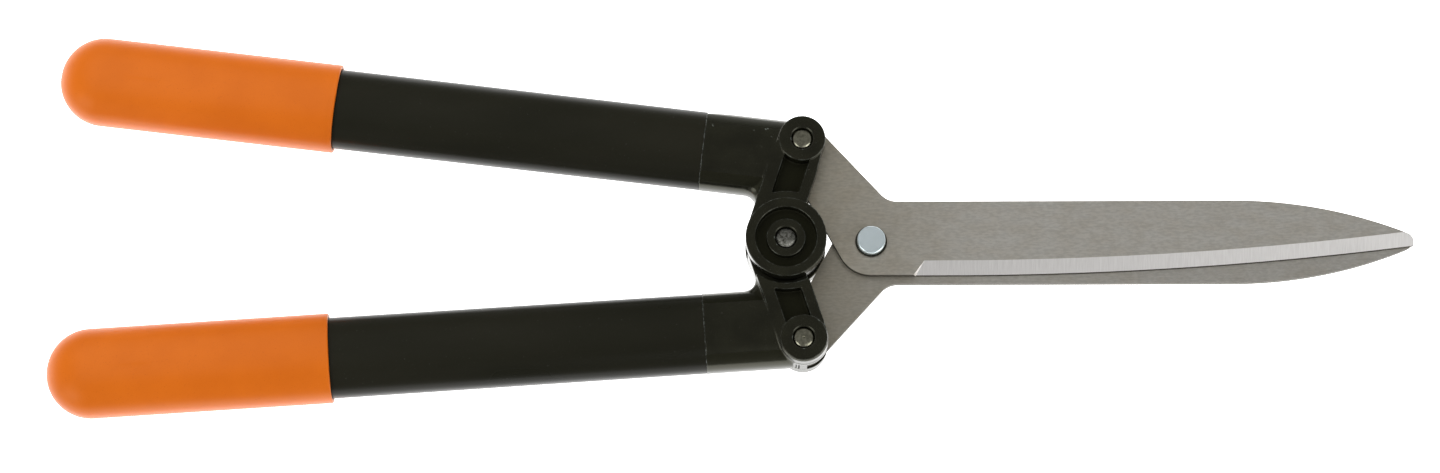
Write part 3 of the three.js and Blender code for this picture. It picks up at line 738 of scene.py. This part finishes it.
# ------------------------------------------------------------------ tubes and grips
def oval_ring(along, offset, width, depth, facets=96):
    """An oval section at a distance along the tube from the joint."""
    ring = []
    for k in range(facets):
        angle = 2 * math.pi * k / facets
        c, s = math.cos(angle), math.sin(angle)
        across = width / 2 * math.copysign(abs(c) ** (2 / OVAL_POWER), c)
        through = depth / 2 * math.copysign(abs(s) ** (2 / OVAL_POWER), s)
        ring.append((-along, offset + across, through))
    return ring


def along_handle(name, rings):
    """Rings drawn along a level tube, turned to the handle's own direction."""
    spec = HANDLES[name]
    turn = Matrix.Rotation(-spec["tilt"] * spec["side"], 3, "Z")
    return [[tuple(turn @ Vector(p)) for p in ring] for ring in rings]


def make_tube(name, materials):
    spec = HANDLES[name]
    y = -spec["offset"] * spec["side"]
    start = SEAM + SEAM_GAP
    corners = [(start, 0), (GRIP_START, 0), (TUBE_END, 0), (TUBE_END, TUBE_WALL), (start, TUBE_WALL)]
    rings = []
    for along, wall in soften(corners, TUBE_RIM, closed=True):
        swell = TUBE_TAPER * ((along - SEAM) / (GRIP_START - SEAM) - 0.5)
        rings.append(oval_ring(along, y, TUBE_WIDTH + swell - 2 * wall, TUBE_DEPTH - 2 * wall))
    points, faces = skin(along_handle(name, rings), closed=True)
    tube = make_piece(
        f"{name}_tube_body", points, faces, JOINT[name], f"{name}_handle",
        materials, [f"{name}_tube"],
    )
    # The upper faces of the tube's end at the seam take the second material, a painted highlight.
    for face in tube.data.polygons:
        shown = face.center.z - PIVOT.z > TUBE_DEPTH / 4 * MM
        face.material_index = 1 if face.normal.x > 0.3 and shown else 0
    return tube


def make_grip(name, material):
    spec = HANDLES[name]
    y = -spec["offset"] * spec["side"]
    round_length = GRIP_WIDTH / 2
    nub = 0.015
    rings = []
    steps = 28
    for k in range(steps + 1):
        angle = math.pi / 2 * (nub + (1 - nub) * k / steps)
        scale = math.sin(angle)
        along = GRIP_END - round_length * (1 - math.cos(angle))
        rings.append(oval_ring(along, y, GRIP_WIDTH * scale, GRIP_DEPTH * scale))
    side = [(GRIP_END - 40, 0), (GRIP_START, 0), (GRIP_START, GRIP_WALL), (GRIP_INNER_END, GRIP_WALL)]
    for along, inset in soften(side, GRIP_RIM):
        rings.append(oval_ring(along, y, GRIP_WIDTH - 2 * inset, GRIP_DEPTH - 2 * inset))
    points, faces = skin(along_handle(name, rings))
    return make_piece(
        f"{name}_grip_cap", points, faces, JOINT[name], f"{name}_handle",
        [material], [f"{name}_grip"],
    )


# ------------------------------------------------------------------ fasteners
def make_turned(name, rings, origin, body, material, node, closed=False):
    points, faces = skin(rings, closed)
    return make_piece(name, points, faces, origin, body, [material], [node])


def make_rivet(name, size, centre, body, material, dimple=False):
    """Rivet with a domed front end in its seat, and a formed end over a washer behind."""
    head, dome, shank = size["head"], size["dome"], size["shank"]
    formed, formed_high, formed_low = size["formed"], size["formed_high"], size["formed_low"]
    shell = [math.radians(a) for a in range(12, 91, 6)]
    crown = [(head * math.sin(a), dome - CROWN_RISE * (1 - math.cos(a))) for a in shell]
    if dimple:
        crown = [(0.2, dome - 0.35), (0.55, dome - 0.05)] + crown
    profile = [
        crown[-1],
        (head, size["seat"]),
        (shank, size["seat"]),
        (shank, formed_high),
        (formed, formed_high),
        (formed, formed_low + 0.35),
        (formed - 0.7, formed_low),
        (AXIS_RADIUS, formed_low),
    ]
    rings = turned(crown[:-1] + soften(profile, 0.3))
    make_turned(f"{name}_rivet_body", rings, centre, body, material, f"{name}_rivet")


def hexagon_radius(angle, flats):
    sector = (angle % (math.pi / 3)) - math.pi / 6
    return flats / 2 / math.cos(sector)


def nut_rings(flats, bore, low, high, facets=96):
    """A hexagon with its corners turned off at both faces."""
    limit = flats / 2 + 0.35
    corner = flats / 2 / math.cos(math.pi / 6)
    lower = [(bore, low), (limit, low), (corner, low + NUT_CHAMFER)]
    upper = [(corner, high - NUT_CHAMFER), (limit, high), (bore, high)]
    rings = []
    for r, z in lower + upper:
        ring = []
        for k in range(facets):
            a = 2 * math.pi * k / facets
            radius = min(r, hexagon_radius(a, flats)) if r > bore else r
            ring.append((radius * math.cos(a), radius * math.sin(a), z))
        rings.append(ring)
    return rings


def split_washer(inner, outer, low, high):
    """One turn of a square wire, with its ends parted."""
    corners = soften([(inner, low), (outer, low), (outer, high), (inner, high)], 0.15, closed=True)
    start, sweep, rise = math.radians(8), math.radians(345), 0.25
    rings = []
    steps = 90
    for k in range(steps + 1):
        share = k / steps
        a = start + sweep * share
        lift = rise * (share - 0.5)
        rings.append([(r * math.cos(a), r * math.sin(a), z + lift) for r, z in corners])
    return rings


def make_pivot(zinc, nylon):
    """Bolt, washers and nut, all on the front blade."""
    body = "front_blade"
    shoulder = BOLT_SHOULDER
    head = arc(BOLT_HEAD_RADIUS - shoulder, BOLT_HEAD_HIGH - shoulder, shoulder, math.pi / 2, 0, 8)
    below = [
        (BOLT_HEAD_RADIUS, BOLT_HEAD_LOW),
        (BOLT_SHANK, BOLT_HEAD_LOW),
        (BOLT_SHANK, BOLT_END),
        (AXIS_RADIUS, BOLT_END),
    ]
    bolt = turned([(AXIS_RADIUS, BOLT_HEAD_HIGH)] + head + soften(below, 0.3))
    make_turned("pivot_bolt_body", bolt, PIVOT, body, zinc, "pivot_bolt")
    washers = (
        ("pivot_front_washer", FRONT_WASHER, "black_nylon", nylon),
        ("pivot_rear_washer", REAR_WASHER, "zinc_steel", zinc),
    )
    for node, size, slot, material in washers:
        make_turned(f"{node}_ring", washer_rings(*size), PIVOT, body, material, node, closed=True)
    spring = split_washer(*SPRING_WASHER)
    make_turned("pivot_spring_washer_wire", spring, PIVOT, body, zinc, "pivot_spring_washer")
    nut = nut_rings(NUT_FLATS, PIVOT_HOLE, NUT_LOW, NUT_HIGH)
    make_turned("pivot_nut_body", nut, PIVOT, body, zinc, "pivot_nut", closed=True)


def make_rings(prefix, sizes, centre, body, material):
    """The plain rings round a rivet, each named after its CAD node."""
    for kind, size in sizes.items():
        node = f"{prefix}_{kind}"
        make_turned(f"{node}_ring", washer_rings(*size), centre, body, material, node, closed=True)


def make_joint_hardware(name, steel, nylon):
    """Rivet, rear washer, sleeve and spacer of a handle joint."""
    body = f"{name}_handle"
    make_rivet(name, RIVETS["joint"], JOINT[name], body, steel, dimple=name == "lower")
    make_rings(name, JOINT_RINGS, JOINT[name], body, steel)
    low = -BLADE_FACE if name == "upper" else BLADE_LOW
    thickness = BLADE_FACE - BLADE_LOW
    spacer = (TANG_HOLE, SPACER_RADIUS, low, low + thickness)
    make_rings(name, {"tang_spacer": spacer}, JOINT[name], body, nylon)


def make_centre_hardware(steel):
    """Rivet, rear washer and sleeve of the joint between the two heads, all on the upper one."""
    make_rivet("centre", RIVETS["centre"], CENTRE, "upper_handle", steel)
    make_rings("centre", CENTRE_RINGS, CENTRE, "upper_handle", steel)


# ------------------------------------------------------------------ stage
def make_floor():
    signs = ((-1, -1), (1, -1), (1, 1), (-1, 1))
    corners = [(x * FLOOR_HALF, y * FLOOR_HALF, FLOOR_HEIGHT) for x, y in signs]
    mesh = bpy.data.meshes.new("floor")
    mesh.from_pydata(corners, [], [(0, 1, 2, 3)])
    mesh.materials.append(pale_floor())
    floor = bpy.data.objects.new("floor", mesh)
    bpy.context.scene.collection.objects.link(floor)


def make_sky():
    """A white studio: bright round the horizon, dim overhead, with two soft panels on the -Y side."""
    world = bpy.data.worlds.new("studio")
    bpy.context.scene.world = world
    world.use_nodes = True
    tree = world.node_tree
    direction = tree.nodes.new("ShaderNodeTexCoord").outputs["Generated"]

    def spread(value, low, high, out_low, out_high):
        made = tree.nodes.new("ShaderNodeMapRange")
        made.interpolation_type = "SMOOTHSTEP"
        tree.links.new(value, made.inputs[0])
        for index, number in zip((1, 2, 3, 4), (low, high, out_low, out_high)):
            made.inputs[index].default_value = number
        return made.outputs[0]

    def along(axis):
        made = tree.nodes.new("ShaderNodeVectorMath")
        made.operation = "DOT_PRODUCT"
        tree.links.new(direction, made.inputs[0])
        made.inputs[1].default_value = Vector(axis).normalized()
        return made.outputs["Value"]

    def add(first, second):
        made = tree.nodes.new("ShaderNodeMath")
        tree.links.new(first, made.inputs[0])
        tree.links.new(second, made.inputs[1])
        return made.outputs[0]

    brightness = spread(along((0, 0, 1)), 0.0, 0.4, SKY_HORIZON, SKY_TOP)
    for axis, low, high, strength in SKY_PANELS:
        brightness = add(brightness, spread(along(axis), low, high, 0, strength))
    tree.links.new(brightness, tree.nodes["Background"].inputs["Strength"])
    tree.nodes["Background"].inputs["Color"].default_value = (1, 1, 1, 1)


def make_light(name, place, target, width, height, power, glossy):
    light = bpy.data.lights.new(name, "AREA")
    light.shape = "RECTANGLE"
    light.size, light.size_y = width, height
    light.energy = power
    holder = bpy.data.objects.new(name, light)
    bpy.context.scene.collection.objects.link(holder)
    holder.location = place
    holder.rotation_euler = (Vector(target) - Vector(place)).to_track_quat("-Z", "Y").to_euler()
    holder.visible_glossy = glossy


def make_lights():
    """A large soft key light, and a low soft box that the ground bevels mirror."""
    make_light("key", (-0.5, 0.7, 1.6), (0, 0, 0), 1.6, 1.6, 30, False)
    make_light("edge_box", (0.42, -0.6, 1.0), (0.15, 0, 0), 0.55, 0.36, 0.36, True)


# ------------------------------------------------------------------ everything
def build():
    make_camera()
    make_floor()
    make_sky()
    make_lights()
    # the rear blade, lying under the front one, is the same steel darkened as painted shade
    front_steel, rear_shaded_steel = blade_steel("blade_steel", 1), blade_steel("rear_blade_shaded_steel", 0.88)
    bevel, edge_shadow = ground_bevel(), edge_shadow_steel()
    zinc, rivet, rough_rivet, nylon = zinc_plate(), rivet_steel(), rough_rivet_steel(), black_nylon()
    coating, orange, sunken_shade, rim = black_coating(), orange_plastic(), sunken_shade_nylon(), seam_glint_rim()
    make_blade("front_blade_visual", "front_blade", 1, [front_steel, bevel, edge_shadow])
    make_blade("rear_blade_visual", "rear_blade", -1, [rear_shaded_steel, bevel, edge_shadow])
    make_pivot(zinc, nylon)
    for name in HANDLES:
        make_head(name, [nylon, sunken_shade])
        make_tube(name, [coating, rim])
        make_grip(name, orange)
        make_joint_hardware(name, rivet, nylon)
    make_centre_hardware(rough_rivet)
    bpy.context.scene.view_settings.view_transform = "Standard"


build()
bpy.context.view_layer.update()
